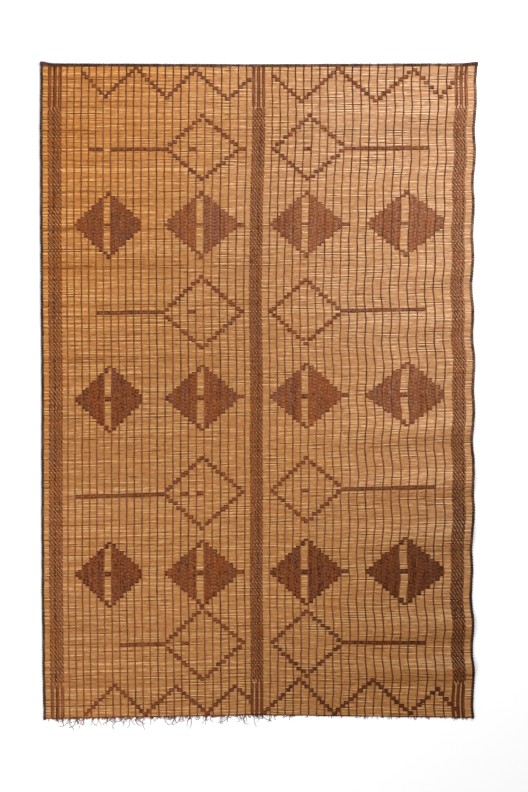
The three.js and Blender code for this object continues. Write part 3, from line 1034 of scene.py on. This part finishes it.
class REEDMAT_OT_weave_diamonds(bpy.types.Operator):
    """Weave the twelve filled diamonds with their slots"""

    bl_idname = "reedmat.weave_diamonds"
    bl_label = "Weave diamonds"

    def shows(self, block, row):
        """Whether a block of the chart is dark, counted from the right half of the middle cell."""
        side = DIAMOND_REACH - abs(row)
        if row == 0:
            return block < DIAMOND_REACH
        if block in (-1, 0):
            return abs(row) >= DIAMOND_REACH - 1 and abs(block) == side
        return abs(block) <= side

    def execute(self, context):
        strands = Strands(np.random.default_rng(54))
        reach = range(-DIAMOND_REACH, DIAMOND_REACH + 1)
        nodes = []
        for column, (panel, line) in enumerate(DIAMOND_COLUMNS):
            for number, course in enumerate(DIAMOND_COURSES):
                rows = {}
                for row in reach:
                    rows[course + row] = [2 * line + 1 + block for block in reach if self.shows(block, row)]
                tone = DIAMOND_ROW_TONES[number] + DIAMOND_COLUMN_TONES[column] + strands.rng.normal(0, 0.04)
                weave_blocks(strands, panel, rows, tone)
                if DIAMOND_NUBS[column]:
                    start, end = DIAMOND_NUBS[column]
                    weave_dash(strands, panel, course, start, end)
                nodes.append(f"diamond_column_{column + 1}_row_{number + 1}")
        piece = sweep_thongs("diamonds", strands, context.scene, FLOAT_SPREAD)
        fasten(piece, "floats", *nodes)
        return {"FINISHED"}


class REEDMAT_OT_weave_arrows(bpy.types.Operator):
    """Weave the eight outlined diamonds on their stems"""

    bl_idname = "reedmat.weave_arrows"
    bl_label = "Weave arrows"

    def execute(self, context):
        strands = Strands(np.random.default_rng(65))
        nodes = []
        for number, (panel, line, course, reach, stem_end) in enumerate(ARROWS):
            for row in range(-reach, reach + 1):
                side = reach - abs(row)
                for block in {2 * line + 1 - side, 2 * line + 1 + side}:
                    weave_bead(strands, panel, course + row, block)
            tip = line + 0.5 - reach / 2 if panel == "left" else line + 1 + reach / 2
            weave_dash(strands, panel, course, min(tip, stem_end), max(tip, stem_end))
            nodes.append(f"arrow_{panel}_{number % ARROWS_IN_PANEL + 1}")
        for panel, course, start, end in ARROW_DASHES:
            weave_dash(strands, panel, course, start, end)
        piece = sweep_thongs("arrows", strands, context.scene, FLOAT_SPREAD)
        fasten(piece, "floats", *nodes)
        return {"FINISHED"}


class REEDMAT_OT_weave_zigzags(bpy.types.Operator):
    """Weave the zigzags along the head and the foot"""

    bl_idname = "reedmat.weave_zigzags"
    bl_label = "Weave zigzags"

    def execute(self, context):
        strands = Strands(np.random.default_rng(76))
        for panel, turns in ZIGZAGS:
            lines, courses = np.array(turns).T
            for block in range(math.floor(2 * lines[0]), math.ceil(2 * lines[-1])):
                weave_bead(strands, panel, np.interp(block / 2 + 0.25, lines, courses), block)
        piece = sweep_thongs("zigzags", strands, context.scene, FLOAT_SPREAD)
        nodes = [f"zigzag_{end}_{side}" for end in ("head", "foot") for side in ("left", "right")]
        fasten(piece, "floats", *nodes)
        return {"FINISHED"}


class REEDMAT_OT_wrap_bindings(bpy.types.Operator):
    """Wrap the sides and the head in dark leather"""

    bl_idname = "reedmat.wrap_bindings"
    bl_label = "Wrap bindings"

    def coil(self, strands, middle, turns, wide, deep):
        """Adds a thong wound round a middle line of closely set points."""
        angle = np.linspace(0, turns * 2 * np.pi, len(middle))
        across = np.gradient(middle[:, :2], axis=0)
        across = np.stack((across[:, 1], -across[:, 0]), axis=1)
        across /= np.linalg.norm(across, axis=1)[:, None]
        wound = middle.copy()
        wound[:, :2] += across * (np.cos(angle) * wide)[:, None]
        wound[:, 2] += np.sin(angle) * deep
        strands.add(wound, 0.5 + waver(strands.rng, np.arange(len(middle)) * 2 * MM, 0.25))

    def wrap_side(self, side, edge, inward, sizes, leather, rng):
        """Makes the binding of one side and the thong wound round it."""
        core = Strands(rng)
        turns = Strands(rng)
        down = np.linspace(4 * MM, LENGTH + 3 * MM, SIDE_POINTS)
        x = edge + inward * SIDE_INSET + waver(rng, down, 0.6 * MM)
        middle = lie(x, down, SIDE_MIDDLE)
        core.add(middle, 0.5 + waver(rng, down, 0.3), 1 + waver(rng, down, 0.06))
        close = np.linspace(6 * MM, LENGTH, SIDE_TURNS * POINTS_IN_TURN)
        wound = lie(np.interp(close, down, x), close, SIDE_WOUND)
        self.coil(turns, wound, SIDE_TURNS, sizes.binding_width / 2, sizes.binding_depth / 2)
        name = "binding_" + side
        body = sweep(name + "_core", core, sizes.binding_width, sizes.binding_depth, CORE_SIDES, leather)
        fasten(body, "binding", name)
        wrap = sweep(name + "_turns", turns, *SIDE_WRAP_SECTION, leather)
        fasten(wrap, "binding")

    def wrap_head(self, leather, rng):
        """Makes the head cord, knotted at both corners, and the thong wound round it."""
        core = Strands(rng)
        x = np.linspace(LEFT_EDGE - 1 * MM, RIGHT_EDGE + 1 * MM, CORD_POINTS)
        knot = smooth(1 - np.minimum(x - x[0], x[-1] - x) / KNOT_LENGTH)
        rise = np.where(x < 0, *KNOT_RISES) * knot
        girth = 1 + KNOT_GIRTH * knot + waver(rng, x, 0.1)
        core.add(lie(x, CORD_DOWN - rise, CORD_MIDDLE * girth), 0.4 + waver(rng, x, 0.25), girth)
        turns = Strands(rng)
        close = np.linspace(LEFT_EDGE + 4 * MM, RIGHT_EDGE - 4 * MM, CORD_TURNS * POINTS_IN_TURN)
        height = CORD_WOUND + KNOT_LIFT * np.interp(close, x, knot)
        wound = lie(close, CORD_DOWN - np.interp(close, x, rise), height)
        self.coil(turns, wound, CORD_TURNS, *CORD_COIL)
        body = sweep("binding_head_core", core, *CORD_SECTION, leather)
        fasten(body, "binding", "binding_head")
        wrap = sweep("binding_head_turns", turns, *CORD_WRAP_SECTION, leather)
        fasten(wrap, "binding")

    def execute(self, context):
        sizes = context.scene.mat_sizes
        leather = binding_material(context.scene.mat_colours)
        rng = np.random.default_rng(87)
        self.wrap_side("left", LEFT_EDGE, 1, sizes, leather, rng)
        self.wrap_side("right", RIGHT_EDGE, -1, sizes, leather, rng)
        self.wrap_head(leather, rng)
        return {"FINISHED"}


class REEDMAT_OT_fray_foot(bpy.types.Operator):
    """Fray the thong ends along the foot"""

    bl_idname = "reedmat.fray_foot"
    bl_label = "Fray foot"

    def roots(self, rng):
        """Places across the foot where ends grow, and how many at each."""
        roots = []
        for panel, count in FRAYS_IN_LINE.items():
            roots += [(line_x(panel, line), count) for line in range(line_count(panel))]
        for _, middle, *_ in BANDS:
            roots += [(middle + offset * BAND_ROOT_PITCH, FRAYS_IN_BAND_ROOT) for offset in BAND_ROOTS]
        strays = rng.uniform(LEFT_EDGE + 10 * MM, RIGHT_EDGE - 10 * MM, STRAY_FRAYS)
        return roots + [(x, 1) for x in strays]

    def fray(self, strands, root, longest):
        """Adds one curling end that comes down to the floor."""
        rng = strands.rng
        t = np.linspace(0, 1, FRAY_POINTS)
        step = longest * (0.25 + 1.05 * rng.random() ** 1.8) / (FRAY_POINTS - 1)
        heading = rng.normal(0, 0.9) + rng.normal(0, 1.6) * t
        heading = heading + rng.normal(0, 0.9) * np.sin(t * rng.uniform(4, 9))
        points = lie(np.full(FRAY_POINTS, root + rng.normal(0, 3.5 * MM)), LENGTH - 4 * MM, 0, 0)
        points[1:, 0] += np.cumsum(np.sin(heading[1:]) * step)
        points[1:, 1] -= np.cumsum(np.cos(heading[1:]) * step)
        points[:, 2] = FRAY_HEIGHT - FRAY_DROP * smooth(t * 2) + rng.uniform(0, 2) * MM * np.sin(t * 3)
        strands.add(points, rng.normal(0.1, 0.25), rng.uniform(0.5, 1) * (1 - 0.4 * t))

    def execute(self, context):
        sizes = context.scene.mat_sizes
        leather = thong_material(context.scene.mat_colours)
        rng = np.random.default_rng(98)
        strands = Strands(rng)
        for root, count in self.roots(rng):
            to_right = smooth((across_at(root) - FRAYS_SHORTEN_FROM) / FRAYS_SHORTEN_WITHIN)
            longest = sizes.fray_left + (sizes.fray_right - sizes.fray_left) * to_right
            for _ in range(count):
                self.fray(strands, root, STRAY_LENGTH if count == 1 else longest)
        piece = sweep("frayed_ends", strands, *FRAY_SECTION, leather)
        fasten(piece, "thongs", "fringe_foot")
        edge = Strands(rng)
        x = np.linspace(LEFT_EDGE + 8 * MM, RIGHT_EDGE - 8 * MM, FOOT_POINTS)
        edge.add(lie(x, LENGTH - 3 * MM, FOOT_MIDDLE), 0.2 + waver(rng, x, 0.3), 1 + waver(rng, x, 0.2))
        piece = sweep("foot_thong", edge, *FOOT_SECTION, leather)
        fasten(piece, "thongs")
        return {"FINISHED"}


class REEDMAT_OT_set_stage(bpy.types.Operator):
    """Set the floor, the soft lights and the camera of the photograph"""

    bl_idname = "reedmat.set_stage"
    bl_label = "Set stage"

    def lay_floor(self, scene):
        """Lays a plain pale floor under the mat."""
        paper = bpy.data.materials.new("Floor")
        paper.use_nodes = True
        shader = paper.node_tree.nodes["Principled BSDF"]
        shader.inputs["Base Color"].default_value = (*scene.mat_colours.floor, 1)
        shader.inputs["Roughness"].default_value = 0.9
        corners = [(x * FLOOR_HALF, y * FLOOR_HALF, 0) for x, y in ((-1, -1), (1, -1), (1, 1), (-1, 1))]
        sheet = bpy.data.meshes.new("floor")
        sheet.from_pydata(corners, (), ((0, 1, 2, 3),))
        sheet.materials.append(paper)
        floor = bpy.data.objects.new("floor", sheet)
        scene.collection.objects.link(floor)

    def hang_light(self, scene, name, place, size, power):
        """Hangs a soft light that faces the middle of the mat."""
        lamp = bpy.data.lights.new(name, "AREA")
        lamp.size = size
        lamp.energy = power
        holder = bpy.data.objects.new(name, lamp)
        holder.location = place
        holder.rotation_euler = (-holder.location).to_track_quat("-Z", "Y").to_euler()
        scene.collection.objects.link(holder)

    def execute(self, context):
        scene = context.scene
        self.lay_floor(scene)
        for light in LIGHTS:
            self.hang_light(scene, *light)
        world = bpy.data.worlds.new("Studio")
        world.use_nodes = True
        sky = world.node_tree.nodes["Background"]
        sky.inputs["Color"].default_value = (1, 1, 1, 1)
        sky.inputs["Strength"].default_value = SKY_STRENGTH
        scene.world = world
        scene.view_settings.view_transform = "Standard"
        lens = bpy.data.cameras.new("Camera")
        lens.lens = CAMERA_LENS
        camera = bpy.data.objects.new("Camera", lens)
        camera.location = CAMERA_PLACE
        scene.collection.objects.link(camera)
        scene.camera = camera
        return {"FINISHED"}


class REEDMAT_PT_steps(bpy.types.Panel):
    """Steps of making the mat"""

    bl_label = "Reed mat"
    bl_idname = "REEDMAT_PT_steps"
    bl_space_type = "VIEW_3D"
    bl_region_type = "UI"
    bl_category = "Reed mat"

    def draw(self, context):
        for step in STEPS:
            self.layout.operator(step.bl_idname)


STEPS = (
    REEDMAT_OT_lay_reeds,
    REEDMAT_OT_weave_lines,
    REEDMAT_OT_weave_bands,
    REEDMAT_OT_weave_diamonds,
    REEDMAT_OT_weave_arrows,
    REEDMAT_OT_weave_zigzags,
    REEDMAT_OT_wrap_bindings,
    REEDMAT_OT_fray_foot,
    REEDMAT_OT_set_stage,
)
CLASSES = (MatSizes, MatColours, *STEPS, REEDMAT_PT_steps)


def register():
    for one in CLASSES:
        bpy.utils.register_class(one)
    bpy.types.Scene.mat_sizes = bpy.props.PointerProperty(type=MatSizes)
    bpy.types.Scene.mat_colours = bpy.props.PointerProperty(type=MatColours)


def unregister():
    del bpy.types.Scene.mat_colours
    del bpy.types.Scene.mat_sizes
    for one in reversed(CLASSES):
        bpy.utils.unregister_class(one)


def main():
    register()
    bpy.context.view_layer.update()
    bpy.ops.reedmat.lay_reeds()
    bpy.ops.reedmat.weave_lines()
    bpy.ops.reedmat.weave_bands()
    bpy.ops.reedmat.weave_diamonds()
    bpy.ops.reedmat.weave_arrows()
    bpy.ops.reedmat.weave_zigzags()
    bpy.ops.reedmat.wrap_bindings()
    bpy.ops.reedmat.fray_foot()
    bpy.ops.reedmat.set_stage()


if __name__ == "__main__":
    main()
